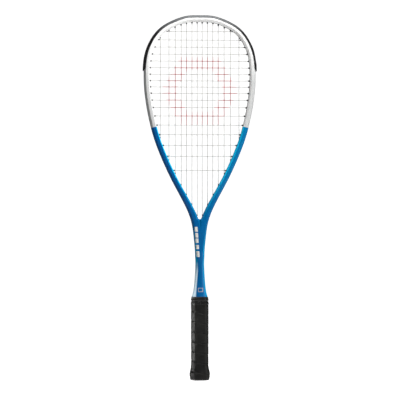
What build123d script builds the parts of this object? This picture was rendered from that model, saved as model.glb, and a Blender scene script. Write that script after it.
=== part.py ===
"""Squash racket: teardrop hoop, throat and shaft in one moulding, strung with a woven string bed.

The racket stands upright. The origin is the centre of the butt end, +Z runs along the handle to the
crown, X lies across the string bed and the racket's front faces -Y. All sizes are in millimetres.
"""

from build123d import *
import math
import os

os.makedirs("parts", exist_ok=True)

# ---- Overall ----
LENGTH = 686.0
HEAD_WIDTH = 211.0  # the moulded hoop, without the bumper
WIDEST_Z = 577.5
CROWN_SQUARENESS = 2.3  # 2 is an ellipse
FIT = 0.05  # between pieces that seat on each other

# ---- Hoop and throat ----
HOOP_DEPTH = 20.0
HOOP_BEAM = 10.5  # thickness of the tube in the plane of the strings
THROAT_BEAM = 14.5
THROAT_Z = 291.0  # where the two tubes have become one
BEAM_GROWS_BELOW_Z = 420.0
BEAM_GROWTH = 4
BEVEL_ACROSS = 3.3
BEVEL_DEEP = 4.0
APEX_RADIUS = 4.2
CREASE_LENGTH = 19.0
# The flank, from the shaft to the widest point: share of the rise, share of the widening.
FLANK = [
    (0.096, 0.024),
    (0.188, 0.072),
    (0.318, 0.267),
    (0.417, 0.456),
    (0.514, 0.619),
    (0.645, 0.801),
    (0.775, 0.918),
    (0.906, 0.988),
]

# ---- Shaft ----
SHAFT_WIDTH = 16.6
SHAFT_TOP_Z = 232.0
WAIST_Z = 205.0
WAIST_DEPTH = 18.6
WAIST_BEVEL = 4.2
FLARE = [(182.0, 19.6, 19.8, 4.5), (166.0, 23.8, 21.8, 4.8)]  # height, width, depth, bevel

# ---- Handle ----
GRIP_WIDTH = 32.0
GRIP_DEPTH = 27.6
GRIP_BEVEL = 6.0
GRIP_THICKNESS = 1.8
SHOULDER_Z = 157.3  # where the shaft's flare has reached the size of the pallets
PALLET_TOP_Z = 150.0
SPINE_WIDTH = 14.0
SPINE_DEPTH = 15.0
SPINE_BOTTOM_Z = 8.0
SPINE_BEVEL = 3.0

# ---- Butt, wrap and collar ----
BUTT_FLARE = [(3.6, 1.85), (8.0, 2.8), (13.0, 2.9), (18.0, 2.0), (24.0, 0.6)]  # height, growth all round
FLARE_TOP_Z = 30.0
GRIP_TAPER_Z = 144.0
GRIP_TOP_Z = 148.5
GRIP_TAPER = 0.9
CAP_FLOOR_Z = 5.0
CAP_RIM = [(0.0, -4.7), (0.6, 0.3), (1.8, 3.3), (3.55, 3.3)]  # height, growth all round
BADGE_DIAMETER = 13.0
BADGE_THICKNESS = 1.2
STAPLE_Z = 15.0
STAPLE_WIDTH = 9.0
STAPLE_REACH = 5.4
STAPLE_WIRE = 0.6
STAPLE_WIRE_HEIGHT = 1.2
STAPLE_SEAT = 1.6  # above the pallet's face
TAPE_THICKNESS = 0.3
TAPE_BOTTOM_Z = 143.0
TAPE_TOP_Z = 152.0
COLLAR = [(149.8, 1.35), (151.4, 1.8), (152.6, 1.45), (SHOULDER_Z, 0.7)]  # height, growth all round

# ---- Groove, bumper and grommets ----
GROOVE_DEEP = 2.8
GROOVE_WIDTH = 6.4
GROOVE_END = 0.095  # share of the flank left without a groove, above the shaft
BUMPER_PROUD = 2.0
BUMPER_WRAP = 2.6  # how far it reaches inwards over the hoop's bevels
BUMPER_END_Z = 581.0
BUMPER_TIP = 9.0
STRIP_THICKNESS = 0.9
STRIP_GAP = 1.0
SIDE_STRIP_END_Z = 455.0
BARREL_DIAMETER = 3.0
BARREL_PROUD = 1.4

# ---- Strings ----
STRING_DIAMETER = 1.25
STRING_ROOM = 0.25  # round a string in its barrel
LOOP_CLEARANCE = 0.3  # under a string in the groove
WEAVE_CLEARANCE = 0.08
CHANNEL_WIDTH = 4.6
SIDE_STEP = 1.45  # a loop that passes over another string's hole stands this far aside
MAIN_GAPS = [4.7, 9.9, 10.2, 10.1, 11.3, 11.8, 16.3]  # proportions, from the centre outwards
OUTER_MAIN_MARGIN = 20.7  # outermost main to the inside of the hoop at its widest
CROSS_GAPS = [15.8, 13.4, 13.2, 12.9, 12.6, 12.2, 12.0, 11.6, 11.8, 12.8, 13.8, 15.8, 17.0, 17.8, 20.0, 20.4, 26.4]
TOP_CROSS_MARGIN = 18.0  # top cross to the inside of the crown
LOW_CROSS_MARGIN = 100.2  # lowest cross to the throat's apex
TAIL = 7.0  # loose end left in the groove

HALF_WIDTH = HEAD_WIDTH / 2
TIP_Z = LENGTH - BUMPER_PROUD
STRING_RADIUS = STRING_DIAMETER / 2
STATIONS = 28  # points on a parallel curve, from the shaft to the crown


# ---- The hoop's outside edge, which everything on the head is measured from ----
def half_edge():
    """The right half, from the shaft to the crown: a drawn flank and a superelliptic crown."""
    rise = WIDEST_Z - SHAFT_TOP_Z
    widening = (HEAD_WIDTH - SHAFT_WIDTH) / 2
    points = [(SHAFT_WIDTH / 2, 0, SHAFT_TOP_Z)]
    points += [(SHAFT_WIDTH / 2 + out * widening, 0, SHAFT_TOP_Z + up * rise) for up, out in FLANK]
    power = 2 / CROWN_SQUARENESS
    for degrees in (0, 18, 36, 54, 72, 90):
        turn = math.radians(degrees)
        x = HALF_WIDTH * max(math.cos(turn), 0) ** power
        z = WIDEST_Z + (TIP_Z - WIDEST_Z) * math.sin(turn) ** power
        points.append((x, 0, z))
    points[-1] = (0, 0, TIP_Z)
    return Spline(*points, tangents=[(0, 0, 1), (-1, 0, 0)])


EDGE = half_edge()


def place(at):
    """Point and outward normal on the edge. at runs from -1, left of the shaft, by 0, the tip, to 1."""
    side = -1 if at < 0 else 1
    share = 1 - abs(at)
    point = EDGE @ share
    along = EDGE % share
    return Vector(side * point.X, 0, point.Z), Vector(side * along.Z, 0, -along.X)


def inside(at, depth):
    point, outward = place(at)
    return point - outward * depth


def beam(at):
    """Thickness of the tube: even round the head and growing down the throat."""
    point, _ = place(at)
    share = (BEAM_GROWS_BELOW_Z - point.Z) / (BEAM_GROWS_BELOW_Z - THROAT_Z)
    return HOOP_BEAM + (THROAT_BEAM - HOOP_BEAM) * max(share, 0) ** BEAM_GROWTH


def solve(low, high, wanted):
    """The place between low and high where wanted, which is above zero at low, reaches zero."""
    for _ in range(30):
        middle = (low + high) / 2
        if wanted(middle) > 0:
            low = middle
        else:
            high = middle
    return (low + high) / 2


WIDEST = solve(0, 0.7, lambda at: place(at)[0].Z - WIDEST_Z)
APEX = solve(WIDEST, 0.95, lambda at: inside(at, beam(at)).X)
APEX_Z = inside(APEX, beam(APEX)).Z


def stations(start, end):
    """Places from start to end, spread over one grid so that curves at different depths keep in step."""
    low, high = sorted((start, end))
    near = 0.3 / STATIONS
    grid = [step / STATIONS for step in range(-STATIONS, STATIONS + 1)]
    places = [low] + [at for at in grid if low + near < at < high - near] + [high]
    return places if start < end else places[::-1]


def smooth(depth, start, end):
    """The curve that keeps one depth inside the edge, from start to end."""
    way = math.copysign(1, end - start)
    tangents = []
    for at in (start, end):
        _, outward = place(at)
        tangents.append(Vector(outward.Z, 0, -outward.X) * way)
    return [Spline(*[inside(at, depth) for at in stations(start, end)], tangents=tangents)]


def arcs(depth, start, end):
    """The same curve in short arcs, for what lies in the groove."""
    places = stations(start, end)
    return [
        ThreePointArc(inside(a, depth), inside((a + b) / 2, depth), inside(b, depth))
        for a, b in zip(places, places[1:])
    ]


def band(outer_depth, inner_depth, start, end, width, curve=arcs):
    """A strip of even width that follows the edge from start to end, between two depths."""
    outline = curve(outer_depth, start, end) + curve(inner_depth, end, start)
    outline += [Line(inside(at, outer_depth), inside(at, inner_depth)) for at in (start, end)]
    return extrude(make_face(outline), amount=width / 2, dir=(0, 1, 0), both=True)


# ---- String holes ----
class Hole:
    """Where one string passes through the hoop, drilled halfway between its normal and the string."""

    def __init__(self, at, string_direction):
        self.at = at
        _, outward = place(at)
        self.axis = (outward + Vector(*string_direction)).normalized()
        self.slant = self.axis.dot(outward)
        self.inner = inside(at, beam(at))
        self.tip = self.inner - self.axis * BARREL_PROUD

    def exit(self, depth):
        return self.inner + self.axis * ((beam(self.at) - depth) / self.slant)

    def rod(self, diameter, start, length):
        """A six-sided rod along the hole, start being measured from the barrel's tip."""
        plane = Plane(self.tip + self.axis * start, x_dir=(0, 1, 0), z_dir=self.axis)
        return extrude(plane * RegularPolygon(diameter / 2, 6), amount=length)


def running_sum(gaps, total):
    places = []
    reached = 0
    for gap in gaps:
        reached += gap
        places.append(reached * total / sum(gaps))
    return places


main_x = running_sum(MAIN_GAPS, HALF_WIDTH - HOOP_BEAM - OUTER_MAIN_MARGIN)
top_cross_z = TIP_Z - HOOP_BEAM - TOP_CROSS_MARGIN
low_cross_z = APEX_Z + LOW_CROSS_MARGIN
cross_z = [top_cross_z] + [top_cross_z - fall for fall in running_sum(CROSS_GAPS, top_cross_z - low_cross_z)]

UP, DOWN, RIGHT = (0, 0, 1), (0, 0, -1), (1, 0, 0)
top_holes = [Hole(solve(0, WIDEST, lambda at: x - Hole(at, UP).tip.X), UP) for x in main_x]
throat_holes = [Hole(solve(WIDEST, APEX, lambda at: Hole(at, DOWN).tip.X - x), DOWN) for x in main_x]
cross_holes = [Hole(solve(0.02, APEX, lambda at: Hole(at, RIGHT).tip.Z - z), RIGHT) for z in cross_z]


def mirrored(hole):
    other = Hole.__new__(Hole)
    other.at = -hole.at
    other.slant = hole.slant
    for name in ("axis", "inner", "tip"):
        value = getattr(hole, name)
        setattr(other, name, Vector(-value.X, 0, value.Z))
    return other


right_mains = list(zip(throat_holes, top_holes))
left_mains = [(mirrored(low), mirrored(high)) for low, high in reversed(right_mains)]
mains = left_mains + right_mains
crosses = [(mirrored(hole), hole) for hole in cross_holes]
all_holes = [hole for pair in mains + crosses for hole in pair]


# ---- Frame ----
def eight_sided(width, depth, bevel_across, bevel_deep, z):
    """A rectangle with bevelled corners, level, at height z."""
    x, y = width / 2, depth / 2
    quarter = [(x, y - bevel_deep), (x - bevel_across, y)]
    corners = quarter + [(-a, b) for a, b in reversed(quarter)]
    corners += [(-a, -b) for a, b in corners]
    return make_face(Polyline(*[(a, b, z) for a, b in corners], close=True))


def pallet_section(z, grow=0.0):
    """The handle's eight-sided section under the wrap, made larger all round by grow."""
    width = GRIP_WIDTH - 2 * GRIP_THICKNESS + 2 * grow
    depth = GRIP_DEPTH - 2 * GRIP_THICKNESS + 2 * grow
    bevel = GRIP_BEVEL - (GRIP_THICKNESS - grow) * (2 - math.sqrt(2))
    return eight_sided(width, depth, bevel, bevel, z)


def hoop():
    inner_half = [inside(at, beam(at)) for at in stations(APEX, 0)]
    inner_curve = Spline(*inner_half, tangents=[inner_half[1] - inner_half[0], (-1, 0, 0)])
    opening = make_face([inner_curve, mirror(inner_curve, about=Plane.YZ)])
    apex = opening.vertices().sort_by(Axis.Z)[0]
    opening = fillet(apex, APEX_RADIUS)
    foot = Line((-SHAFT_WIDTH / 2, 0, SHAFT_TOP_Z), (SHAFT_WIDTH / 2, 0, SHAFT_TOP_Z))
    outline = make_face([EDGE, mirror(EDGE, about=Plane.YZ), foot])
    body = extrude(outline - opening, amount=HOOP_DEPTH / 2, dir=(0, 1, 0), both=True)
    for face_side in (0, -1):
        face = body.faces().filter_by(Axis.Y).sort_by(Axis.Y)[face_side]
        edges = face.edges().filter_by(lambda edge: edge.center().Z > SHAFT_TOP_Z + 1)
        body = chamfer(edges, length=BEVEL_ACROSS, length2=BEVEL_DEEP, reference=face)
    return body


def crease(side):
    """The tapering hollow below the apex, where the inner bevels of the two tubes meet."""
    face_y = side * HOOP_DEPTH / 2
    top_z = APEX_Z + APEX_RADIUS + 2
    top = Polyline(
        (-BEVEL_ACROSS, face_y, top_z),
        (0, face_y - side * BEVEL_DEEP, top_z),
        (BEVEL_ACROSS, face_y, top_z),
        (0, face_y + side, top_z),
        close=True,
    )
    return loft([make_face(top), Vertex(0, face_y, top_z - CREASE_LENGTH)])


def shaft():
    sections = [
        eight_sided(SHAFT_WIDTH, HOOP_DEPTH, BEVEL_ACROSS, BEVEL_DEEP, SHAFT_TOP_Z),
        eight_sided(SHAFT_WIDTH, WAIST_DEPTH, WAIST_BEVEL, WAIST_BEVEL, WAIST_Z),
    ]
    sections += [eight_sided(width, depth, bevel, bevel, z) for z, width, depth, bevel in FLARE]
    sections += [pallet_section(SHOULDER_Z)]
    shoulder = extrude(pallet_section(SHOULDER_Z), amount=PALLET_TOP_Z - SHOULDER_Z)
    return loft(sections) + shoulder


def spine(grow=0.0):
    """The core of the handle, or with grow the room for it."""
    length = PALLET_TOP_Z - SPINE_BOTTOM_Z + 2 * grow
    bar = Box(SPINE_WIDTH + 2 * grow, SPINE_DEPTH + 2 * grow, length)
    bar = chamfer(bar.edges().filter_by(Axis.Z), SPINE_BEVEL)
    return Pos(0, 0, (PALLET_TOP_Z + SPINE_BOTTOM_Z) / 2) * bar


def make_frame():
    body = HOOP + shaft() + spine()
    body -= [crease(-1), crease(1)]
    end = 1 - GROOVE_END
    body -= band(-BUMPER_PROUD, GROOVE_DEEP, -end, end, GROOVE_WIDTH)
    drill = BARREL_DIAMETER + 2 * FIT
    body -= [hole.rod(drill, 0, 2 * BARREL_PROUD + THROAT_BEAM / hole.slant) for hole in all_holes]
    return body


# ---- Bumper and grommet strips ----
def barrels(base, holes):
    """Adds to a strip the barrels that line its holes, and bores them for the strings."""
    for hole in holes:
        length = (beam(hole.at) - GROOVE_DEEP + STRIP_THICKNESS / 2) / hole.slant + BARREL_PROUD
        base += hole.rod(BARREL_DIAMETER, 0, length)
    bore = STRING_DIAMETER + 2 * STRING_ROOM
    return base - [hole.rod(bore, -1, THROAT_BEAM + 2 * BARREL_PROUD + 2) for hole in holes]


def strip(start, end):
    """The flat strip that lies in the groove, with the barrels of the holes that it covers."""
    floor = GROOVE_DEEP - FIT
    base = band(floor - STRIP_THICKNESS, floor, start, end, GROOVE_WIDTH - 2 * FIT)
    low, high = sorted((start, end))
    return barrels(base, [hole for hole in all_holes if low < hole.at < high])


def tip_cut(end):
    """Takes the inner part of the bumper's end away, so that it runs out in a wedge along its outer edge."""
    before = end - math.copysign(BUMPER_TIP / EDGE.length, end)
    corners = [inside(end, -BUMPER_PROUD / 2), inside(end, GROOVE_DEEP + 1), inside(before, GROOVE_DEEP + 1)]
    triangle = make_face(Polyline(*corners, close=True))
    return extrude(triangle, amount=HOOP_DEPTH, dir=(0, 1, 0), both=True)


def make_bumper():
    """A saddle over the outside of the crown, with a rib in the groove and a channel for the loops."""
    end = BUMPER_END
    saddle = band(-BUMPER_PROUD, BUMPER_WRAP, -end, end, HOOP_DEPTH, smooth)
    for side in (0, -1):
        face = saddle.faces().filter_by(Axis.Y).sort_by(Axis.Y)[side]
        edge = face.edges().sort_by(SortBy.LENGTH)[-1]
        saddle = chamfer(edge, length=BEVEL_ACROSS, length2=BEVEL_DEEP, reference=face)
    saddle -= HOOP
    saddle += band(-BUMPER_PROUD / 2, GROOVE_DEEP - FIT, -end, end, GROOVE_WIDTH - 2 * FIT)
    saddle -= [tip_cut(-end), tip_cut(end)]
    saddle -= band(-BUMPER_PROUD - 1, STRIP_FACE, -end - 0.01, end + 0.01, CHANNEL_WIDTH)
    return barrels(saddle, [hole for hole in all_holes if abs(hole.at) < end])


# ---- Strings ----
def groove_point(at, aside=0.0):
    point = inside(at, LOOP_DEPTH)
    return Vector(point.X, aside, point.Z)


def loop(start, end, aside):
    """A string's way along the groove between two of its holes, beside any other hole that it passes."""
    low, high = sorted((start.exit_at, end.exit_at))
    passed = [hole for hole in all_holes if low + 1e-6 < hole.exit_at < high - 1e-6]
    passed.sort(key=lambda hole: abs(hole.exit_at - start.exit_at))
    if not passed:
        return [groove_point((low + high) / 2)]
    return [groove_point(hole.exit_at, aside) for hole in passed]


def tail(hole, aside):
    """Where a string's loose end lies in the groove, a little way down from its hole."""
    return groove_point(hole.exit_at + math.copysign(TAIL / EDGE.length, hole.exit_at), aside)


def strung(route):
    """A six-sided string with a mitre at every turn of its route."""
    path = Polyline(*route)
    start = Plane(route[0], x_dir=(0, 1, 0), z_dir=route[1] - route[0])
    return sweep(start * RegularPolygon(STRING_RADIUS, 6), path=path, transition=Transition.RIGHT)


def main_route():
    count = len(mains)
    low, high = mains[0]
    route = [tail(low, SIDE_STEP)]
    for number, (low, high) in enumerate(mains):
        first, last = (low, high) if number % 2 == 0 else (high, low)
        route += [first.exit(LOOP_DEPTH), first.tip, last.tip, last.exit(LOOP_DEPTH)]
        if number + 1 < count:
            following = mains[number + 1][0 if number % 2 else 1]
            route += loop(last, following, SIDE_STEP)
    return route + [tail(last, SIDE_STEP)]


def woven_points(number):
    """One cross string from left to right: over one main and under the next, next row the other way."""
    left, right = crosses[number]
    z = right.tip.Z
    points = [left.tip]
    for place_of_main, (low, high) in enumerate(mains):
        if low.tip.Z + 1.5 < z < high.tip.Z - 1:
            over = 1 if (place_of_main + number) % 2 else -1
            points.append(Vector(high.tip.X, over * (STRING_DIAMETER + WEAVE_CLEARANCE), z))
    return points + [right.tip]


def cross_route():
    first, _ = crosses[0]
    route = [tail(first, -SIDE_STEP)]
    for number, (left, right) in enumerate(crosses):
        points = [left.exit(LOOP_DEPTH)] + woven_points(number) + [right.exit(LOOP_DEPTH)]
        last = right
        if number % 2:
            points.reverse()
            last = left
        route += points
        if number + 1 < len(crosses):
            following = crosses[number + 1][0 if number % 2 else 1]
            route += loop(last, following, -SIDE_STEP)
    return route + [tail(last, -SIDE_STEP)]


# ---- Handle ----
def sleeve(levels):
    """A solid through the handle's section at each height, grown all round by the amount given there."""
    return loft([pallet_section(z, grow) for z, grow in levels], ruled=True)


def column(bottom, top, grow):
    return extrude(pallet_section(bottom, grow), amount=top - bottom)


def staple(side, grow=0.0):
    """One staple through the cap's skirt into a pallet. side is -1 at the front. With grow, its room."""
    seat_y = GRIP_DEPTH / 2 - GRIP_THICKNESS + STAPLE_SEAT
    wire = STAPLE_WIRE + 2 * grow
    height = STAPLE_WIRE_HEIGHT + 2 * grow
    crown = Box(STAPLE_WIDTH + 2 * grow, wire, height)
    leg = Box(wire, STAPLE_REACH + grow, height)
    reach_y = -side * (STAPLE_REACH + grow) / 2
    legs = [Pos(x * (STAPLE_WIDTH - STAPLE_WIRE) / 2, reach_y, 0) * leg for x in (-1, 1)]
    return Pos(0, side * (seat_y + STAPLE_WIRE / 2), STAPLE_Z) * (crown + legs)


def staple_room(side):
    """The staple's slots, with the recess over its crown."""
    seat_y = GRIP_DEPTH / 2 - GRIP_THICKNESS + STAPLE_SEAT
    recess = Box(STAPLE_WIDTH + 2 * FIT, GRIP_THICKNESS, STAPLE_WIRE_HEIGHT + 2 * FIT)
    return staple(side, FIT) + Pos(0, side * (seat_y + GRIP_THICKNESS / 2), STAPLE_Z) * recess


def make_pallet(side):
    bottom = CAP_FLOOR_Z + FIT
    both = column(bottom, PALLET_TOP_Z - FIT, 0) - spine(FIT)
    both -= staple_room(side)
    half = Box(GRIP_WIDTH * 2, GRIP_DEPTH, PALLET_TOP_Z * 3)
    return both & Pos(0, side * GRIP_DEPTH / 2, 0) * half


def make_butt_cap():
    skirt = sleeve([(z, grow - FIT) for z, grow in BUTT_FLARE])
    rim = sleeve(CAP_RIM)
    body = skirt + column(CAP_RIM[-1][0] - FIT, BUTT_FLARE[0][0] + FIT, BUTT_FLARE[0][1] - FIT) + rim
    body -= column(CAP_FLOOR_Z, BUTT_FLARE[-1][0] + 1, FIT)
    body -= Cylinder(BADGE_DIAMETER / 2 + FIT, 2 * (BADGE_THICKNESS + FIT))
    return body - [staple_room(-1), staple_room(1)]


def make_badge():
    disc = Pos(0, 0, BADGE_THICKNESS / 2) * Cylinder(BADGE_DIAMETER / 2, BADGE_THICKNESS)
    return chamfer(disc.edges().sort_by(Axis.Z)[0], 0.3)


def make_grip():
    flare = BUTT_FLARE + [(FLARE_TOP_Z, 0)]
    outside = sleeve([(z, grow + GRIP_THICKNESS) for z, grow in flare])
    outside += column(FLARE_TOP_Z, GRIP_TAPER_Z, GRIP_THICKNESS)
    outside += sleeve([(GRIP_TAPER_Z, GRIP_THICKNESS), (GRIP_TOP_Z, GRIP_THICKNESS - GRIP_TAPER)])
    inside_flare = sleeve(BUTT_FLARE + [(FLARE_TOP_Z, FIT)])
    return outside - inside_flare - column(FLARE_TOP_Z - FIT, GRIP_TOP_Z + 1, FIT)


def make_tape():
    over = GRIP_THICKNESS + FIT
    inner = [
        (TAPE_BOTTOM_Z, over),
        (GRIP_TAPER_Z, over),
        (GRIP_TOP_Z + FIT, over - GRIP_TAPER),
        (GRIP_TOP_Z + 2 * FIT, FIT),
        (TAPE_TOP_Z, FIT),
    ]
    outer = [(z, grow + TAPE_THICKNESS) for z, grow in inner]
    outer[3] = (GRIP_TOP_Z + TAPE_THICKNESS + 2 * FIT, FIT + TAPE_THICKNESS)
    return sleeve(outer) - sleeve(inner)


def make_collar():
    """A ridged rubber ring that hides the end of the tape and the shoulder."""
    bottom = COLLAR[0][0]
    body = sleeve(COLLAR)
    body -= column(bottom, TAPE_TOP_Z + FIT, TAPE_THICKNESS + 2 * FIT)
    return body - column(bottom, SHOULDER_Z, FIT)


# ---- What several pieces share ----
HOOP = hoop()
STRIP_FACE = GROOVE_DEEP - FIT - STRIP_THICKNESS
LOOP_DEPTH = STRIP_FACE - LOOP_CLEARANCE - STRING_RADIUS
BUMPER_END = solve(0, 0.7, lambda at: inside(at, -BUMPER_PROUD).Z - BUMPER_END_Z)
SIDE_START = BUMPER_END + STRIP_GAP / EDGE.length
SIDE_END = solve(0, 0.9, lambda at: place(at)[0].Z - SIDE_STRIP_END_Z)
THROAT_START = SIDE_END + STRIP_GAP / EDGE.length
THROAT_END = 1 - GROOVE_END - STRIP_GAP / EDGE.length

for hole in all_holes:
    out = hole.exit(LOOP_DEPTH)
    share = solve(0, 0.98, lambda at: inside(at, LOOP_DEPTH).Z - out.Z)
    hole.exit_at = math.copysign(share, hole.at)

parts = {
    "frame": make_frame(),
    "bumper_guard": make_bumper(),
    "side_grommet_strip_left": strip(-SIDE_END, -SIDE_START),
    "side_grommet_strip_right": strip(SIDE_START, SIDE_END),
    "throat_grommet_strip_left": strip(-THROAT_END, -THROAT_START),
    "throat_grommet_strip_right": strip(THROAT_START, THROAT_END),
    "main_string": strung(main_route()),
    "cross_string": strung(cross_route()),
    "pallet_front": make_pallet(-1),
    "pallet_back": make_pallet(1),
    "butt_cap": make_butt_cap(),
    "butt_badge": make_badge(),
    "butt_cap_staples": Compound(children=[staple(-1), staple(1)]),
    "grip_wrap": make_grip(),
    "finishing_tape": make_tape(),
    "grip_collar": make_collar(),
}
for name, solid in parts.items():
    export_step(solid, f"parts/{name}.step")
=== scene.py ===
import math

import bpy
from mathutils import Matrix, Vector


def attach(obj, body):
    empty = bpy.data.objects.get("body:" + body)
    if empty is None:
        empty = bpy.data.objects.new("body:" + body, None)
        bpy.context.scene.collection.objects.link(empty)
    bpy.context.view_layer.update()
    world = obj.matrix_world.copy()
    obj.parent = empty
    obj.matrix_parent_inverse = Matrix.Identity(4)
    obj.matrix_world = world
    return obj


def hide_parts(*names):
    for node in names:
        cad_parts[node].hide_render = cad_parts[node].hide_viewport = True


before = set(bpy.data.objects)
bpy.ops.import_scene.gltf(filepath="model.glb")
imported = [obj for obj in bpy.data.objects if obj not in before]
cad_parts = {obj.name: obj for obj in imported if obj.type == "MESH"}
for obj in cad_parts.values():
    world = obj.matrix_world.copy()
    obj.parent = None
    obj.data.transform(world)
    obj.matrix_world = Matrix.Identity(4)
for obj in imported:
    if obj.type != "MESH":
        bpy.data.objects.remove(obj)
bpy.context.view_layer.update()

# ---- Sizes shared by several pieces ----
STRING = 0.00125  # string diameter
WEAVE = 0.00134  # how far a string's control points swing to each side
# Mains, right half from the centre outwards: how far across, bottom and top barrel tips.
MAINS = [
    (0.0047, 0.3109, 0.6721),
    (0.0146, 0.3316, 0.6719),
    (0.0248, 0.3500, 0.6712),
    (0.0349, 0.3679, 0.6679),
    (0.0462, 0.3894, 0.6633),
    (0.0580, 0.4148, 0.6574),
    (0.0743, 0.4560, 0.6431),
]
# Crosses from the top down: height, half the length between barrel tips.
CROSSES = [
    (0.6555, 0.0612),
    (0.6396, 0.0768),
    (0.6262, 0.0846),
    (0.6129, 0.0895),
    (0.5999, 0.0921),
    (0.5873, 0.0933),
    (0.5750, 0.0936),
    (0.5629, 0.0935),
    (0.5513, 0.0929),
    (0.5394, 0.0918),
    (0.5266, 0.0902),
    (0.5127, 0.0879),
    (0.4968, 0.0848),
    (0.4797, 0.0809),
    (0.4618, 0.0759),
    (0.4417, 0.0690),
    (0.4212, 0.0606),
    (0.3947, 0.0486),
]
LIP_REACH = 0.0003  # a vertex this near a barrel's end belongs to its tip
LIP_LONG = 0.0014
LIP_SPREAD = 1.2
WRAP_PITCH = 0.0188
WRAP_BOTTOM = 0.0037
WRAP_TOP = 0.1485
SEAM_HEIGHT = 0.0612  # one seam's height on the middle of the front
# Growth of the butt's flare all round: height, amount.
FLARE = [
    (0.0, 0.0012),
    (0.0036, 0.00185),
    (0.008, 0.0028),
    (0.013, 0.0029),
    (0.018, 0.0020),
    (0.024, 0.0006),
    (0.030, 0.0),
]
TAPER_BOTTOM = 0.144  # the wrap thins from here to its upper end
TAPER_HEIGHT = 0.0045
TAPER = 0.0009
CORNER_SHARPNESS = 26  # of the handle's eight corners
DIAGONALS = (45, 135, 225, 315)  # degrees round from +X
WRAP_THICKNESS = 0.0010
TURNS = 10
STEPS_A_TURN = 96
GRIP_HALF_WIDTH = 0.0160
GRIP_HALF_DEPTH = 0.0138
GRIP_BEVEL = 0.0060


def all_mains():
    """Every main from left to right: how far across, bottom, top."""
    return [(-x, low, high) for x, low, high in reversed(MAINS)] + MAINS


# ---- Handling ----
def deselect():
    if bpy.context.object and bpy.context.object.mode != "OBJECT":
        bpy.ops.object.mode_set(mode="OBJECT")
    bpy.ops.object.select_all(action="DESELECT")


def take(piece):
    """Selects one piece and nothing else."""
    deselect()
    piece.select_set(True)
    bpy.context.view_layer.objects.active = piece


def finish_modifiers(piece):
    take(piece)
    for name in [modifier.name for modifier in piece.modifiers]:
        bpy.ops.object.modifier_apply(modifier=name)


def edges_where(piece, keep):
    """Selects in edit mode the edges for which keep says yes to both ends and the angle between faces."""
    mesh = piece.data
    faces_of = {}
    for face in mesh.polygons:
        for key in face.edge_keys:
            faces_of.setdefault(key, []).append(face.normal)
    for edge in mesh.edges:
        normals = faces_of.get(edge.key, [])
        bend = normals[0].angle(normals[1], 0) if len(normals) == 2 else 0
        first, second = (mesh.vertices[v].co for v in edge.vertices)
        edge.select = keep(first, second, math.degrees(bend))
    for face in mesh.polygons:
        face.select = False


def smooth(piece, degrees):
    take(piece)
    bpy.ops.object.shade_smooth_by_angle(angle=math.radians(degrees))


def from_cad(node, name):
    """A merged copy of a CAD piece, to be eased and shaded."""
    piece = bpy.data.objects.new(name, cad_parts[node].data.copy())
    bpy.context.collection.objects.link(piece)
    take(piece)
    bpy.ops.object.mode_set(mode="EDIT")
    bpy.ops.mesh.select_mode(type="EDGE")
    bpy.ops.mesh.select_all(action="SELECT")
    bpy.ops.mesh.remove_doubles(threshold=0.000004)
    bpy.ops.mesh.tris_convert_to_quads(face_threshold=math.radians(3), shape_threshold=math.radians(60))
    bpy.ops.object.mode_set(mode="OBJECT")
    if piece.data.has_custom_normals:
        bpy.ops.mesh.customdata_custom_splitnormals_clear()
    return piece


def ease(piece, width, segments=2, sharper_than=28, keep=lambda a, b: True):
    """Rounds the hard edges of a piece that keep says yes to."""
    edges_where(piece, lambda a, b, bend: bend > sharper_than and keep(a, b))
    take(piece)
    bpy.ops.object.mode_set(mode="EDIT")
    bpy.ops.mesh.select_mode(type="EDGE")
    bpy.ops.mesh.bevel(offset=width, segments=segments, affect="EDGES", clamp_overlap=True, loop_slide=False)
    bpy.ops.object.mode_set(mode="OBJECT")


def wear(piece, look, slot, *nodes):
    """Gives a piece its material and body, and lets it stand for its CAD nodes."""
    piece.data.materials.clear()
    piece.data.materials.append(look)
    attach(piece, "root")
    if nodes:
        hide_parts(*nodes)


# ---- Node building ----
def put(tree, kind, **values):
    """Adds a node. Values name its settings, or its inputs by name with spaces as underscores."""
    node = tree.nodes.new(kind)
    for key, value in values.items():
        socket = key.replace("_", " ")
        if hasattr(node, key):
            setattr(node, key, value)
        elif socket in node.inputs:
            feed(tree, node.inputs[socket], value)
    return node


def feed(tree, socket, value):
    if isinstance(value, bpy.types.NodeSocket):
        tree.links.new(value, socket)
    else:
        socket.default_value = value


def calc(tree, operation, *values):
    node = tree.nodes.new("ShaderNodeMath")
    node.operation = operation
    for socket, value in zip(node.inputs, values):
        feed(tree, socket, value)
    return node.outputs[0]


def within(tree, value, middle, half, blur=0.0001):
    """1 where value is within half of the middle, with a soft edge."""
    away = calc(tree, "ABSOLUTE", calc(tree, "SUBTRACT", value, middle))
    return ramp(tree, away, half + blur, half - blur)


def ramp(tree, value, low, high, to_low=0.0, to_high=1.0):
    node = tree.nodes.new("ShaderNodeMapRange")
    node.clamp = True
    for socket, number in zip(node.inputs, (value, low, high, to_low, to_high)):
        feed(tree, socket, number)
    return node.outputs[0]


def blend(tree, share, first, second, mode="MIX"):
    """Mixes two colours by share."""
    node = tree.nodes.new("ShaderNodeMix")
    node.data_type = "RGBA"
    node.blend_type = mode
    node.clamp_factor = True
    feed(tree, node.inputs[0], share)
    feed(tree, node.inputs[6], first)
    feed(tree, node.inputs[7], second)
    return node.outputs[2]


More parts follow.
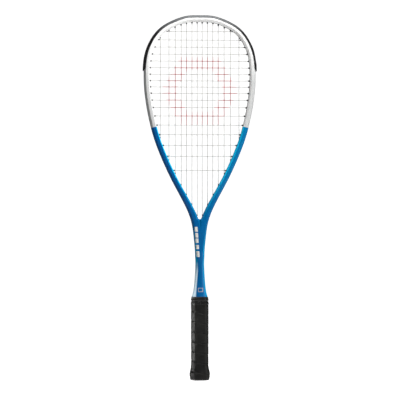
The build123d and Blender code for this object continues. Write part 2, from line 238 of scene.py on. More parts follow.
def group(name, inputs, outputs):
    """A new shader node group. Inputs: name and default. Outputs: names, all plain numbers."""
    tree = bpy.data.node_groups.new(name, "ShaderNodeTree")
    for label, value in inputs:
        kind = "NodeSocketVector" if value is None else "NodeSocketFloat"
        socket = tree.interface.new_socket(name=label, in_out="INPUT", socket_type=kind)
        if value is not None:
            socket.default_value = value
    for label in outputs:
        tree.interface.new_socket(name=label, in_out="OUTPUT", socket_type="NodeSocketFloat")
    return tree, tree.nodes.new("NodeGroupInput").outputs, tree.nodes.new("NodeGroupOutput").inputs


def grain_group():
    """Fine moulded grain: a pebble height and slow blotches."""
    tree, given, wanted = group("Moulded grain", [("Place", None), ("Size", 0.0006)], ["Height", "Blotch"])
    scale = calc(tree, "DIVIDE", 1.0, given["Size"])
    pebble = put(tree, "ShaderNodeTexVoronoi", feature="SMOOTH_F1", Vector=given["Place"], Scale=scale)
    fine = put(tree, "ShaderNodeTexNoise", Vector=given["Place"], Scale=scale, Detail=3.0, Roughness=0.6)
    height = calc(tree, "MULTIPLY_ADD", fine.outputs[0], 0.5, pebble.outputs[0])
    tree.links.new(height, wanted["Height"])
    slow = put(tree, "ShaderNodeTexNoise", Vector=given["Place"], Scale=60.0, Detail=4.0, Roughness=0.55)
    tree.links.new(ramp(tree, slow.outputs[0], 0.35, 0.65), wanted["Blotch"])
    return tree


def scuff_group():
    """Short hairline scratches that run one way, thinned out by a slow patch."""
    tree, given, wanted = group("Scuffs", [("Place", None), ("Amount", 0.3)], ["Mask"])
    turned = put(tree, "ShaderNodeMapping", Vector=given["Place"])
    turned.inputs["Rotation"].default_value = (0.3, 0.5, 0.2)
    turned.inputs["Scale"].default_value = (900.0, 120.0, 900.0)
    lines = put(tree, "ShaderNodeTexNoise", Vector=turned.outputs[0], Scale=1.0, Detail=2.0, Roughness=0.5)
    patch = put(tree, "ShaderNodeTexNoise", Vector=given["Place"], Scale=35.0, Detail=2.0, Roughness=0.5)
    thin = ramp(tree, lines.outputs[0], 0.64, 0.72)
    where = ramp(tree, patch.outputs[0], 0.5, 0.62)
    mask = calc(tree, "MULTIPLY", calc(tree, "MULTIPLY", thin, where), given["Amount"])
    tree.links.new(mask, wanted["Mask"])
    return tree


def dust_group():
    """Pale dust and handling marks that lie more on what faces up."""
    tree, given, wanted = group("Dust", [("Place", None), ("Amount", 0.2)], ["Mask"])
    speck = put(tree, "ShaderNodeTexNoise", Vector=given["Place"], Scale=900.0, Detail=3.0, Roughness=0.7)
    patch = put(tree, "ShaderNodeTexNoise", Vector=given["Place"], Scale=45.0, Detail=3.0, Roughness=0.6)
    way = put(tree, "ShaderNodeNewGeometry")
    parts = put(tree, "ShaderNodeSeparateXYZ", Vector=way.outputs["Normal"])
    up = ramp(tree, parts.outputs[2], -0.2, 1.0, 0.35, 1.0)
    mask = calc(tree, "MULTIPLY", ramp(tree, speck.outputs[0], 0.45, 0.75), ramp(tree, patch.outputs[0], 0.4, 0.7))
    mask = calc(tree, "MULTIPLY", calc(tree, "MULTIPLY", mask, up), given["Amount"])
    tree.links.new(mask, wanted["Mask"])
    return tree


def flake_group():
    """Metal flake in paint: tiny cells of differing brightness, and the orange peel of the lacquer."""
    tree, given, wanted = group("Paint flake", [("Place", None), ("Size", 0.0003)], ["Sparkle", "Peel"])
    scale = calc(tree, "DIVIDE", 1.0, given["Size"])
    cells = put(tree, "ShaderNodeTexVoronoi", feature="F1", Vector=given["Place"], Scale=scale)
    parts = put(tree, "ShaderNodeSeparateColor", Color=cells.outputs["Color"])
    tree.links.new(parts.outputs[0], wanted["Sparkle"])
    peel = put(tree, "ShaderNodeTexNoise", Vector=given["Place"], Scale=420.0, Detail=1.0, Roughness=0.4)
    tree.links.new(peel.outputs[0], wanted["Peel"])
    return tree


GRAIN = grain_group()
SCUFFS = scuff_group()
DUST = dust_group()
FLAKE = flake_group()


def use(tree, which, place, **values):
    node = tree.nodes.new("ShaderNodeGroup")
    node.node_tree = which
    tree.links.new(place, node.inputs["Place"])
    for key, value in values.items():
        node.inputs[key].default_value = value
    return node.outputs


def look(name, **settings):
    """A new material: its tree, its Principled shader, and Object coordinates whole and in parts."""
    material = bpy.data.materials.new(name)
    material.use_nodes = True
    tree = material.node_tree
    shader = tree.nodes["Principled BSDF"]
    for key, value in settings.items():
        shader.inputs[key.replace("_", " ")].default_value = value
    place = tree.nodes.new("ShaderNodeTexCoord").outputs["Object"]
    parts = put(tree, "ShaderNodeSeparateXYZ", Vector=place)
    return material, tree, shader, place, parts.outputs


def bump(tree, shader, height, distance, strength=1.0):
    node = tree.nodes.new("ShaderNodeBump")
    node.inputs["Strength"].default_value = strength
    node.inputs["Distance"].default_value = distance
    tree.links.new(height, node.inputs["Height"])
    tree.links.new(node.outputs[0], shader.inputs["Normal"])


# ---- Where the paint changes, in metres ----
HEAD_EDGE = (0.0872, 0.4755)  # on the tube's middle: how far across, height
HEAD_EDGE_SLOPE = (0.235, 0.972)
REFLECTION_EDGE = (0.205, 0.160, 0.0043, 0.0082)  # heights, and how far left of the middle at each
BARS_MIDDLE = (0.2890, 0.2310, -0.0080, -0.0038)
BAR_HALF_WIDTH = 0.0027
BARS = [(0.2839, 0.0046), (0.2728, 0.0043), (0.2627, 0.0042), (0.2507, 0.0038), (0.2375, 0.0055)]  # height, half
PANEL_MIDDLE = (0.0004, 0.1703)
PANEL_HALF = (0.0047, 0.0038)
PANEL_LINE = 0.0011
STENCIL_Z = 0.5440
STENCIL_REACH = 0.0515  # from its centre to the middle of its band
STENCIL_HALF_BAND = 0.0120


# ---- Materials ----
# The darker silver and the deeper blue below are painted shade, the whitish silver and the lighter and brightest blues
# are painted highlights, and the pale blue is a painted reflection.
SILVER = (0.56, 0.565, 0.56, 1)
SILVER_SHADE = (0.34, 0.35, 0.352, 1)
SILVER_HIGHLIGHT = (0.93, 0.93, 0.92, 1)
BLUE = (0.0, 0.160, 0.37, 1)
BLUE_PAINTED_SHADE = (0.0, 0.085, 0.28, 1)
BLUE_PAINTED_HIGHLIGHT = (0.0, 0.34, 0.62, 1)
BLUE_INNER_HIGHLIGHT = (0.0, 0.56, 0.92, 1)
PALE_REFLECTION = (0.60, 0.76, 0.86, 1)
PRINT = (0.72, 0.71, 0.66, 1)
MARK = (0.50, 0.42, 0.36, 1)


def frame_paint():
    """Blue throat and shaft, silver head, plain pale bars, painted shade and painted highlights on the blue and silver,
    and a painted reflection down the shaft's left flank, all under clear lacquer.
    """
    material, tree, shader, place, at = look(
        "Frame paint", Metallic=0.1, Specular_IOR_Level=0.1, Coat_Weight=0.06, Coat_Roughness=0.15
    )
    x, y, z = at
    facing = calc(tree, "SIGN", y)
    across = calc(tree, "MULTIPLY", calc(tree, "MULTIPLY", x, facing), -1.0)
    width = calc(tree, "ABSOLUTE", x)
    flake = use(tree, FLAKE, place, Size=0.0003)
    dust = use(tree, DUST, place, Amount=0.04)
    scuffs = use(tree, SCUFFS, place, Amount=0.15)

    # the head is silver above a cut square to the tube
    above = calc(tree, "MULTIPLY", calc(tree, "SUBTRACT", z, HEAD_EDGE[1]), HEAD_EDGE_SLOPE[1])
    past = calc(tree, "MULTIPLY_ADD", calc(tree, "SUBTRACT", width, HEAD_EDGE[0]), HEAD_EDGE_SLOPE[0], above)
    head = ramp(tree, past, -0.0003, 0.0003)

    # painted shade deepens the blue to the left; painted highlights make it lighter on the shaft's flanks and brightest
    # on the faces inside the throat
    away = put(tree, "ShaderNodeNewGeometry").outputs["Normal"]
    turn = put(tree, "ShaderNodeSeparateXYZ", Vector=away).outputs
    flank = ramp(tree, calc(tree, "ABSOLUTE", turn[1]), 0.93, 0.70)
    outward = calc(tree, "MULTIPLY", turn[0], calc(tree, "SIGN", x))
    inside = calc(tree, "MULTIPLY", flank, ramp(tree, outward, 0.05, -0.15))
    outside = calc(tree, "MULTIPLY", flank, ramp(tree, outward, -0.05, 0.15))
    throat = ramp(tree, z, 0.285, 0.400)
    blue = blend(tree, ramp(tree, across, -0.020, 0.060), BLUE_PAINTED_SHADE, BLUE)
    # painted highlight on the flanks of the lower shaft
    flank_highlight = calc(tree, "MULTIPLY", flank, ramp(tree, z, 0.240, 0.300, 0.8, 0.0))
    blue = blend(tree, flank_highlight, blue, BLUE_PAINTED_HIGHLIGHT)
    # painted highlight on the faces inside the throat
    blue = blend(tree, calc(tree, "MULTIPLY", inside, throat), blue, BLUE_INNER_HIGHLIGHT)
    # painted highlight: the silver whitens towards the top of the head and on the faces inside
    silver = blend(tree, ramp(tree, z, 0.560, 0.640), SILVER, SILVER_HIGHLIGHT)
    silver = blend(tree, calc(tree, "MULTIPLY", inside, 0.8), silver, SILVER_HIGHLIGHT)
    # painted shade: the silver's outer faces darken to the left
    left_shade = calc(tree, "MULTIPLY", outside, ramp(tree, across, 0.03, -0.03, 0.2, 0.9))
    silver = blend(tree, left_shade, silver, SILVER_SHADE)

    # painted reflection: a pale streak down the left flank of the shaft
    edge = ramp(tree, z, *REFLECTION_EDGE)
    left = ramp(tree, calc(tree, "ADD", across, edge), 0.0002, -0.0002)
    low = ramp(tree, z, 0.224, 0.200)
    off_head = ramp(tree, z, 0.1560, 0.1580)
    reflection_streak = calc(tree, "MULTIPLY", calc(tree, "MULTIPLY", left, low), off_head)
    blue = blend(tree, reflection_streak, blue, PALE_REFLECTION)

    # five plain bars down the left of the throat, and a small outlined panel over the collar
    middle = ramp(tree, z, *BARS_MIDDLE)
    bars = within(tree, calc(tree, "SUBTRACT", across, middle), 0.0, BAR_HALF_WIDTH, 0.0003)
    rows = None
    for height, half in BARS:
        row = within(tree, z, height, half, 0.0002)
        rows = row if rows is None else calc(tree, "ADD", rows, row)
    blue = blend(tree, calc(tree, "MULTIPLY", bars, rows), blue, PRINT)
    outer, inner = (
        calc(
            tree,
            "MULTIPLY",
            within(tree, across, PANEL_MIDDLE[0], PANEL_HALF[0] - line),
            within(tree, z, PANEL_MIDDLE[1], PANEL_HALF[1] - line),
        )
        for line in (0, PANEL_LINE)
    )
    panel = calc(tree, "MULTIPLY", calc(tree, "SUBTRACT", outer, inner), 0.8)
    blue = blend(tree, panel, blue, MARK)

    colour = blend(tree, head, blue, silver)
    shade = ramp(tree, flake["Sparkle"], 0.0, 1.0, 0.95, 1.05)
    grey = put(tree, "ShaderNodeCombineXYZ", X=shade, Y=shade, Z=shade).outputs[0]
    colour = blend(tree, 1.0, colour, grey, "MULTIPLY")
    colour = blend(tree, scuffs["Mask"], colour, (0.75, 0.77, 0.78, 1))
    colour = blend(tree, dust["Mask"], colour, (0.62, 0.60, 0.56, 1))
    tree.links.new(colour, shader.inputs["Base Color"])
    rough = calc(tree, "MULTIPLY_ADD", flake["Sparkle"], 0.10, calc(tree, "MULTIPLY_ADD", dust["Mask"], 0.5, 0.26))
    tree.links.new(rough, shader.inputs["Roughness"])
    bump(tree, shader, flake["Peel"], 0.00002, 0.5)
    return material


def plastic(name, colour, size, roughness, depth, dust_amount=0.2, scuff_amount=0.3, crown_highlight=0.0, **settings):
    """Moulded plastic or rubber: grain, blotches, dust and scuffs, and a painted grey highlight towards the crown."""
    material, tree, shader, place, at = look(name, **settings)
    grain = use(tree, GRAIN, place, Size=size)
    dust = use(tree, DUST, place, Amount=dust_amount)
    scuffs = use(tree, SCUFFS, place, Amount=scuff_amount)
    paler = tuple(min(1, part * 1.8 + 0.004) for part in colour[:3]) + (1,)
    mixed = blend(tree, calc(tree, "MULTIPLY", grain["Blotch"], 0.5), colour, paler)
    # painted highlight: paler grey towards the crown
    mixed = blend(tree, ramp(tree, at[2], 0.652, 0.682, 0.0, crown_highlight), mixed, (0.30, 0.31, 0.32, 1))
    mixed = blend(tree, scuffs["Mask"], mixed, (0.30, 0.30, 0.30, 1))
    mixed = blend(tree, dust["Mask"], mixed, (0.34, 0.33, 0.30, 1))
    tree.links.new(mixed, shader.inputs["Base Color"])
    scuffed = calc(tree, "MULTIPLY_ADD", scuffs["Mask"], 0.3, roughness)
    rough = calc(tree, "MULTIPLY_ADD", grain["Blotch"], 0.12, scuffed)
    tree.links.new(rough, shader.inputs["Roughness"])
    bump(tree, shader, grain["Height"], depth, 0.6)
    return material


def string_look(name, lengthways):
    """Translucent multifilament string with a twist in it, and a plain hexagon stencilled in red."""
    material, tree, shader, place, at = look(
        name, Roughness=0.35, IOR=1.5, Coat_Weight=0.3, Coat_Roughness=0.15, Subsurface_Weight=0.15
    )
    shader.inputs["Subsurface Radius"].default_value = (0.001, 0.001, 0.0008)
    shader.inputs["Subsurface Scale"].default_value = 0.5
    x, y, z = at
    along = {"X": x, "Z": z}[lengthways]
    side = {"X": z, "Z": x}[lengthways]
    round_it = calc(tree, "MULTIPLY", calc(tree, "ADD", y, side), 2600.0)
    slant = calc(tree, "ADD", calc(tree, "MULTIPLY", along, 2200.0), round_it)
    twist = calc(tree, "MULTIPLY_ADD", calc(tree, "SINE", slant), 0.5, 0.5)

    # a ring with six straight sides, centred on the sweet spot
    h = calc(tree, "ABSOLUTE", x)
    v = calc(tree, "ABSOLUTE", calc(tree, "SUBTRACT", z, STENCIL_Z))
    slope = calc(tree, "ADD", calc(tree, "MULTIPLY", h, 0.866), calc(tree, "MULTIPLY", v, 0.5))
    reach = calc(tree, "MAXIMUM", slope, v)
    ring = within(tree, reach, STENCIL_REACH, STENCIL_HALF_BAND, 0.0004)
    patchy = put(tree, "ShaderNodeTexNoise", Vector=place, Scale=700.0, Detail=2.0, Roughness=0.6)
    ink = calc(tree, "MULTIPLY", ring, ramp(tree, patchy.outputs[0], 0.30, 0.5, 0.7, 1.0))
    plain = blend(tree, twist, (0.40, 0.40, 0.38, 1), (0.62, 0.61, 0.58, 1))
    colour = blend(tree, ink, plain, (0.36, 0.001, 0.006, 1))
    tree.links.new(colour, shader.inputs["Base Color"])
    bump(tree, shader, twist, 0.00002, 0.5)
    return material


def grip_look():
    """Tacky cushioned grip: fine pores, blotches, a faint long grain and dust towards the seams."""
    material, tree, shader, place, at = look(
        "Grip wrap", Specular_IOR_Level=0.18, Sheen_Weight=0.02, Sheen_Roughness=0.4
    )
    grain = use(tree, GRAIN, place, Size=0.0009)
    dust = use(tree, DUST, place, Amount=0.35)
    pores = put(tree, "ShaderNodeTexVoronoi", feature="F1", Vector=place, Scale=620.0, Randomness=0.35)
    pit = ramp(tree, pores.outputs[0], 0.10, 0.26)
    mixed = blend(tree, grain["Blotch"], (0.0036, 0.0036, 0.0033, 1), (0.0080, 0.0076, 0.0066, 1))
    mixed = blend(tree, pit, (0.004, 0.004, 0.004, 1), mixed)
    mixed = blend(tree, dust["Mask"], mixed, (0.16, 0.155, 0.135, 1))
    tree.links.new(mixed, shader.inputs["Base Color"])
    rough = calc(tree, "MULTIPLY_ADD", grain["Blotch"], 0.14, calc(tree, "MULTIPLY_ADD", dust["Mask"], 0.3, 0.42))
    tree.links.new(rough, shader.inputs["Roughness"])
    height = calc(tree, "MULTIPLY_ADD", grain["Height"], 0.35, pit)
    bump(tree, shader, height, 0.00012, 0.7)
    return material


def badge_look():
    """Grey butt badge with a plain raised ring."""
    material, tree, shader, place, at = look("Badge", Metallic=0.6, Coat_Weight=0.4, Coat_Roughness=0.1)
    grain = use(tree, GRAIN, place, Size=0.0004)
    across, deep = (calc(tree, "MULTIPLY", part, part) for part in at[:2])
    out = calc(tree, "SQRT", calc(tree, "ADD", across, deep))
    ring = within(tree, out, 0.0042, 0.0004)
    mixed = blend(tree, ring, (0.30, 0.31, 0.32, 1), (0.02, 0.10, 0.28, 1))
    mixed = blend(tree, calc(tree, "MULTIPLY", grain["Blotch"], 0.3), mixed, (0.20, 0.20, 0.21, 1))
    tree.links.new(mixed, shader.inputs["Base Color"])
    tree.links.new(calc(tree, "MULTIPLY_ADD", grain["Blotch"], 0.15, 0.28), shader.inputs["Roughness"])
    bump(tree, shader, calc(tree, "MULTIPLY_ADD", grain["Height"], 0.15, ring), 0.00008, 0.6)
    return material


def foam_look():
    """Dense cream foam of the pallets under the wrap."""
    material, tree, shader, place, at = look("Pallet foam", Specular_IOR_Level=0.3)
    cells = put(tree, "ShaderNodeTexVoronoi", feature="F1", Vector=place, Scale=1500.0)
    grain = use(tree, GRAIN, place, Size=0.0012)
    mixed = blend(tree, grain["Blotch"], (0.70, 0.62, 0.42, 1), (0.58, 0.49, 0.31, 1))
    tree.links.new(mixed, shader.inputs["Base Color"])
    tree.links.new(calc(tree, "MULTIPLY_ADD", grain["Blotch"], 0.1, 0.75), shader.inputs["Roughness"])
    bump(tree, shader, cells.outputs[0], 0.0002, 0.7)
    return material


def steel_look():
    """Bright drawn wire of the staples."""
    material, tree, shader, place, at = look("Staple steel", Metallic=1.0)
    drawn = put(tree, "ShaderNodeMapping", Vector=place)
    drawn.inputs["Scale"].default_value = (300.0, 4000.0, 4000.0)
    lines = put(tree, "ShaderNodeTexNoise", Vector=drawn.outputs[0], Scale=1.0, Detail=2.0)
    mixed = blend(tree, lines.outputs[0], (0.48, 0.48, 0.49, 1), (0.66, 0.66, 0.67, 1))
    tree.links.new(mixed, shader.inputs["Base Color"])
    tree.links.new(calc(tree, "MULTIPLY_ADD", lines.outputs[0], 0.2, 0.22), shader.inputs["Roughness"])
    bump(tree, shader, lines.outputs[0], 0.00002, 0.5)
    return material


PAINT = frame_paint()
# the guard's last number, 0.6, sets how strong its painted grey highlight at the crown is
GUARD = plastic(
    "Guard nylon", (0.008, 0.008, 0.009, 1), 0.0005, 0.20, 0.00002, 0.10, 0.5, 0.6, Coat_Weight=0.3, Coat_Roughness=0.12
)
STRIP = plastic("Grommet nylon", (0.010, 0.010, 0.010, 1), 0.0005, 0.42, 0.00004, 0.25, 0.1)
TAPE = plastic("Finishing tape", (0.003, 0.003, 0.003, 1), 0.0008, 0.22, 0.00003, 0.12, 0.2)
COLLAR = plastic("Collar rubber", (0.003, 0.003, 0.003, 1), 0.0006, 0.24, 0.00003, 0.15, 0.1)
CAP = plastic("Butt cap", (0.009, 0.009, 0.009, 1), 0.0007, 0.40, 0.00005, 0.2, 0.4)
MAIN_STRING = string_look("Main string", "Z")
CROSS_STRING = string_look("Cross string", "X")
GRIP = grip_look()
BADGE = badge_look()
FOAM = foam_look()
STEEL = steel_look()


# ---- Frame ----
def make_frame():
    piece = from_cad("frame", "frame_moulding")
    ease(piece, 0.0016, 3, 30, lambda a, b: min(abs(a.y), abs(b.y)) > 0.0045 and min(a.z, b.z) > 0.234)
    smooth(piece, 56)
    wear(piece, PAINT, "frame_paint", "frame")


# ---- Bumper and grommet strips ----
def barrel_tips():
    """Every barrel tip with the way it points, as (x, z, way across, way up)."""
    tips = []
    for x, low, high in all_mains():
        tips += [(x, low, 0, 1), (x, high, 0, -1)]
    for z, half in CROSSES:
        tips += [(-half, z, 1, 0), (half, z, -1, 0)]
    return tips


def roll_lips(piece):
    """Draws each barrel's tip out into a longer, slightly wider rolled lip."""
    for x, z, right, up in barrel_tips():
        for vertex in piece.data.vertices:
            spot = vertex.co
            across = (spot.z - z) if right else (spot.x - x)
            ahead = (spot.x - x) * right + (spot.z - z) * up
            if abs(across) < 0.0018 and abs(spot.y) < 0.0018 and abs(ahead) < LIP_REACH:
                spot.y *= LIP_SPREAD
                spot.x = spot.x + right * LIP_LONG if right else x + across * LIP_SPREAD
                spot.z = z + across * LIP_SPREAD if right else spot.z + up * LIP_LONG


def make_trim(node, name, material, slot, width, degrees):
    piece = from_cad(node, name)
    if width:
        ease(piece, width, 2, 40, lambda a, b: min(abs(a.y), abs(b.y)) > 0.0021)
    roll_lips(piece)
    smooth(piece, degrees)
    wear(piece, material, slot, node)


# ---- Strings ----
def woven(runs, name):
    """Round strings along runs of points, each smoothly bent over and under."""
    curve = bpy.data.curves.new(name, "CURVE")
    curve.dimensions = "3D"
    curve.bevel_depth = STRING / 2
    curve.bevel_resolution = 2
    curve.resolution_u = 4
    curve.use_fill_caps = True
    for run in runs:
        spline = curve.splines.new("NURBS")
        spline.points.add(len(run) - 1)
        for point, spot in zip(spline.points, run):
            point.co = (*spot, 1)
        spline.order_u = 3
        spline.use_endpoint_u = True
    piece = bpy.data.objects.new(name, curve)
    bpy.context.collection.objects.link(piece)
    take(piece)
    bpy.ops.object.convert(target="MESH")
    bpy.ops.object.mode_set(mode="EDIT")
    bpy.ops.mesh.select_all(action="SELECT")
    bpy.ops.mesh.remove_doubles(threshold=0.000001)
    bpy.ops.object.mode_set(mode="OBJECT")
    return bpy.context.object


def loops_of(node, name, inside):
    """What of a CAD string lies in its barrels and in the groove, with the runs across the head taken out."""
    piece = from_cad(node, name)
    bpy.ops.object.mode_set(mode="EDIT")
    bpy.ops.mesh.select_mode(type="FACE")
    bpy.ops.object.mode_set(mode="OBJECT")
    for face in piece.data.polygons:
        face.select = inside(face.center)
    bpy.ops.object.mode_set(mode="EDIT")
    bpy.ops.mesh.delete(type="FACE")
    bpy.ops.mesh.select_mode(type="VERT")
    bpy.ops.mesh.select_all(action="SELECT")
    bpy.ops.mesh.fill_holes(sides=8)
    bpy.ops.object.mode_set(mode="OBJECT")
    return piece


def join(first, second):
    deselect()
    second.select_set(True)
    first.select_set(True)
    bpy.context.view_layer.objects.active = first
    bpy.ops.object.join()
    return first


def make_main_string():
    runs = []
    for number, (x, low, high) in enumerate(all_mains()):
        run = [(x, 0, low - 0.0002)]
        for row, (z, half) in enumerate(reversed(CROSSES)):
            row_from_top = len(CROSSES) - 1 - row
            if low + 0.0015 < z < high - 0.001:
                side = -1 if (number + row_from_top) % 2 else 1
                run.append((x, side * WEAVE, z))
        run.append((x, 0, high + 0.0002))
        runs.append(run)
    bed = woven(runs, "main_runs")
    mains = all_mains()

    def crosses_head(spot):
        return any(abs(spot.x - x) < 0.002 and low < spot.z < high for x, low, high in mains)

    piece = join(loops_of("main_string", "string_mains", crosses_head), bed)
    smooth(piece, 62)
    wear(piece, MAIN_STRING, "string", "main_string")


def make_cross_string():
    runs = []
    for row, (z, half) in enumerate(CROSSES):
        run = [(-half - 0.0002, 0, z)]
        for number, (x, low, high) in enumerate(all_mains()):
            if low + 0.0015 < z < high - 0.001:
                side = 1 if (number + row) % 2 else -1
                run.append((x, side * WEAVE, z))
        run.append((half + 0.0002, 0, z))
        runs.append(run)
    bed = woven(runs, "cross_runs")

    def crosses_head(spot):
        return any(abs(spot.z - z) < 0.002 and abs(spot.x) < half for z, half in CROSSES)

    piece = join(loops_of("cross_string", "string_crosses", crosses_head), bed)
    smooth(piece, 62)
    wear(piece, CROSS_STRING, "string", "cross_string")


# ---- Grip ----
def growth(z):
    """How far the butt's flare has grown all round at this height."""
    for (z0, g0), (z1, g1) in zip(FLARE, FLARE[1:]):
        if z <= z1:
            share = max(0.0, (z - z0) / (z1 - z0))
            share = share * share * (3 - 2 * share)
            return g0 + (g1 - g0) * share
    if z > TAPER_BOTTOM:
        return -TAPER * min(1.0, (z - TAPER_BOTTOM) / TAPER_HEIGHT)
    return 0.0


def section_radius(angle, z):
    """Distance from the handle's axis to its soft-cornered eight-sided outside."""
    grow = growth(z)
    width = GRIP_HALF_WIDTH + grow
    depth = GRIP_HALF_DEPTH + grow
    corner = (GRIP_HALF_WIDTH + GRIP_HALF_DEPTH - GRIP_BEVEL) / math.sqrt(2) + grow
    total = 0.0
    flats = [(0, width), (90, depth), (180, width), (270, depth)]
    for turn, reach in flats + [(turn, corner) for turn in DIAGONALS]:
        facing = math.cos(angle - math.radians(turn))
        if facing > 0:
            total += (facing / reach) ** CORNER_SHARPNESS
    return total ** (-1 / CORNER_SHARPNESS)


def make_grip():
    """One strip wound up the handle, each turn lapping over the one below."""
    start = SEAM_HEIGHT - 4 * WRAP_PITCH
    # across one turn from its lower edge: height, how far out
    profile = [
        (0.00000, -0.00088),
        (0.00020, -0.00070),
        (0.00050, -0.00010),
        (0.00110, 0.00012),
        (0.00350, 0.00010),
        (0.00800, 0.00006),
        (0.01250, 0.00004),
        (0.01620, -0.00004),
        (0.01790, -0.00030),
        (0.01850, -0.00076),
        (WRAP_PITCH, -0.00088),
    ]
    deselect()
    bpy.ops.mesh.primitive_plane_add(size=0.01, location=(0, 0, 0))
    piece = bpy.context.object
    piece.name = "grip_wrap_wound"
    for part in (*piece.data.polygons, *piece.data.edges):
        part.select = False
    for vertex in piece.data.vertices:
        vertex.select = vertex.index > 0
    bpy.ops.object.mode_set(mode="EDIT")
    bpy.ops.mesh.select_mode(type="VERT")
    bpy.ops.mesh.delete(type="VERT")
    bpy.ops.object.mode_set(mode="OBJECT")
    piece.data.vertices[0].co = (1 + profile[0][1], 0, start)
    piece.data.vertices[0].select = True
    bpy.ops.object.mode_set(mode="EDIT")
    for (z0, out0), (z1, out1) in zip(profile, profile[1:]):
        bpy.ops.mesh.extrude_vertices_move(TRANSFORM_OT_translate={"value": (out1 - out0, 0, z1 - z0)})
    bpy.ops.object.mode_set(mode="OBJECT")
    winding = piece.modifiers.new("Winding", "SCREW")
    winding.axis = "Z"
    winding.angle = -math.tau
    winding.screw_offset = WRAP_PITCH
    winding.iterations = TURNS
    winding.steps = STEPS_A_TURN
    winding.render_steps = STEPS_A_TURN
    winding.use_merge_vertices = True
    winding.merge_threshold = 0.00001
    finish_modifiers(piece)
    for vertex in piece.data.vertices:
        spot = vertex.co
        angle = math.atan2(spot.y, spot.x)
        out = math.hypot(spot.x, spot.y) - 1
        # the strip starts on the right and has dropped a quarter of a turn by the front
        spot.z += WRAP_PITCH * 0.25
        reach = section_radius(angle, spot.z) + out
        vertex.co = (reach * math.cos(angle), reach * math.sin(angle), spot.z)
    for height, above in ((WRAP_BOTTOM, False), (WRAP_TOP, True)):
        take(piece)
        bpy.ops.object.mode_set(mode="EDIT")
        bpy.ops.mesh.select_all(action="SELECT")
        bpy.ops.mesh.bisect(
            plane_co=(0, 0, height), plane_no=(0, 0, 1), clear_inner=not above, clear_outer=above
        )
        bpy.ops.object.mode_set(mode="OBJECT")
    take(piece)
    bpy.ops.object.mode_set(mode="EDIT")
    bpy.ops.mesh.select_all(action="SELECT")
    bpy.ops.mesh.remove_doubles(threshold=0.00002)
    bpy.ops.mesh.normals_make_consistent(inside=False)
    bpy.ops.object.mode_set(mode="OBJECT")
    body = piece.modifiers.new("Body", "SOLIDIFY")
    body.thickness = WRAP_THICKNESS
    outward = sum(face.normal.dot((face.center.x, face.center.y, 0)) for face in piece.data.polygons)
    body.offset = -1 if outward > 0 else 1  # the wound face stays the outside one
    finish_modifiers(piece)
    smooth(piece, 55)
    wear(piece, GRIP, "grip", "grip_wrap")


# ---- Handle ends ----
def make_handle_trim():
    for node, name, material, slot, width in (
        ("finishing_tape", "tape_band", TAPE, "tape", 0.00008),
        ("grip_collar", "collar_ring", COLLAR, "collar_rubber", 0.00035),
        ("butt_cap", "cap_shell", CAP, "cap_plastic", 0.0004),
    ):
        piece = from_cad(node, name)
        ease(piece, width, 2, 24)
        smooth(piece, 30)
        wear(piece, material, slot, node)
    for node, material in (
        ("butt_badge", BADGE),
        ("pallet_front", FOAM),
        ("pallet_back", FOAM),
        ("butt_cap_staples", STEEL),
    ):
        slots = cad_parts[node].data.materials
        for number in range(len(slots)):
            slots[number] = material


make_frame()
make_trim("bumper_guard", "crown_guard", GUARD, "guard_nylon", 0.0005, 40)
for hand in ("left", "right"):
    make_trim(f"side_grommet_strip_{hand}", f"side_strip_{hand}", STRIP, "strip_nylon", 0, 62)
    make_trim(f"throat_grommet_strip_{hand}", f"throat_strip_{hand}", STRIP, "strip_nylon", 0, 62)
make_main_string()
make_cross_string()
make_grip()
make_handle_trim()


# ---- Studio ----
def stage_material():
    material, tree, shader, place, at = look("Paper sweep", Roughness=0.9)
    fibre = put(tree, "ShaderNodeTexNoise", Vector=place, Scale=300.0, Detail=2.0)
    paper = blend(tree, fibre.outputs[0], (0.93, 0.93, 0.93, 1), (0.95, 0.95, 0.95, 1))
    tree.links.new(paper, shader.inputs["Base Color"])
    shader.inputs["Emission Color"].default_value = (1, 1, 1, 1)
    seen = tree.nodes.new("ShaderNodeLightPath").outputs["Is Camera Ray"]
    tree.links.new(calc(tree, "MULTIPLY", seen, 0.95), shader.inputs["Emission Strength"])
    return material


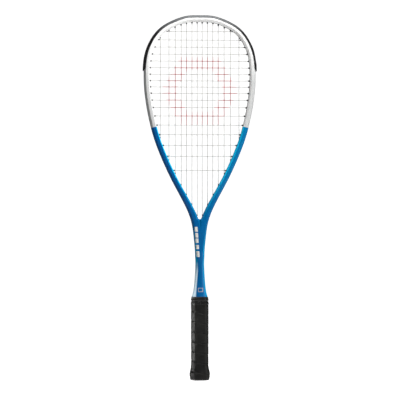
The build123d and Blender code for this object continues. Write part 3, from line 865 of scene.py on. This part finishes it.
def make_stage():
    """A pale floor that curves up behind into a wall."""
    deselect()
    bpy.ops.mesh.primitive_plane_add(size=12, location=(0, 0, 0))
    sweep = bpy.context.object
    sweep.name = "paper_sweep"
    for edge in sweep.data.edges:
        edge.select = all(sweep.data.vertices[v].co.y > 0 for v in edge.vertices)
    for face in sweep.data.polygons:
        face.select = False
    bpy.ops.object.mode_set(mode="EDIT")
    bpy.ops.mesh.select_mode(type="EDGE")
    bpy.ops.mesh.extrude_region_move(TRANSFORM_OT_translate={"value": (0, 0, 7)})
    bpy.ops.object.mode_set(mode="OBJECT")
    for edge in sweep.data.edges:
        edge.select = all(v.co.y > 0 and v.co.z < 1 for v in (sweep.data.vertices[i] for i in edge.vertices))
    bpy.ops.object.mode_set(mode="EDIT")
    bpy.ops.mesh.bevel(offset=2.5, segments=24, affect="EDGES")
    bpy.ops.object.mode_set(mode="OBJECT")
    smooth(sweep, 40)
    sweep.data.materials.clear()
    sweep.data.materials.append(stage_material())


def lamp(name, spot, target, width, height, watts, spread=180):
    light = bpy.data.lights.new(name, "AREA")
    light.shape = "RECTANGLE"
    light.size = width
    light.size_y = height
    light.energy = watts
    light.spread = math.radians(spread)
    holder = bpy.data.objects.new(name, light)
    bpy.context.collection.objects.link(holder)
    holder.location = spot
    holder.rotation_euler = (Vector(target) - Vector(spot)).to_track_quat("-Z", "Y").to_euler()


def make_lights():
    world = bpy.data.worlds.new("Studio")
    bpy.context.scene.world = world
    world.use_nodes = True
    sky = world.node_tree.nodes["Background"]
    sky.inputs["Color"].default_value = (1, 1, 1, 1)
    sky.inputs["Strength"].default_value = 0.09
    lamp("Top box", (0.25, -0.75, 1.55), (0, 0, 0.6), 1.3, 0.9, 25)
    lamp("Right box", (2.3, -1.5, 0.8), (0, 0, 0.30), 0.9, 1.8, 34)
    lamp("Low strip", (-0.8, -0.05, 0.08), (0, 0, 0.075), 0.10, 0.14, 0.07, 12)


def make_camera():
    """A long lens, level with the middle of the picture and a little to the left of straight on."""
    lens = bpy.data.cameras.new("Camera")
    camera = bpy.data.objects.new("Camera", lens)
    bpy.context.collection.objects.link(camera)
    bpy.context.scene.camera = camera
    distance = 5.0
    aim = Vector((0.0005, 0, 0.3390))
    turn = math.radians(-6.0)
    back = Vector((math.sin(turn), -math.cos(turn), 0))
    camera.location = aim + back * distance
    camera.rotation_euler = (-back).to_track_quat("-Z", "Y").to_euler()
    lens.sensor_width = 36.0
    lens.lens = 36.0 * distance / 0.7518
    lens.clip_start = 0.1
    lens.clip_end = 50.0


make_stage()
make_lights()
make_camera()
bpy.context.scene.view_settings.view_transform = "Standard"
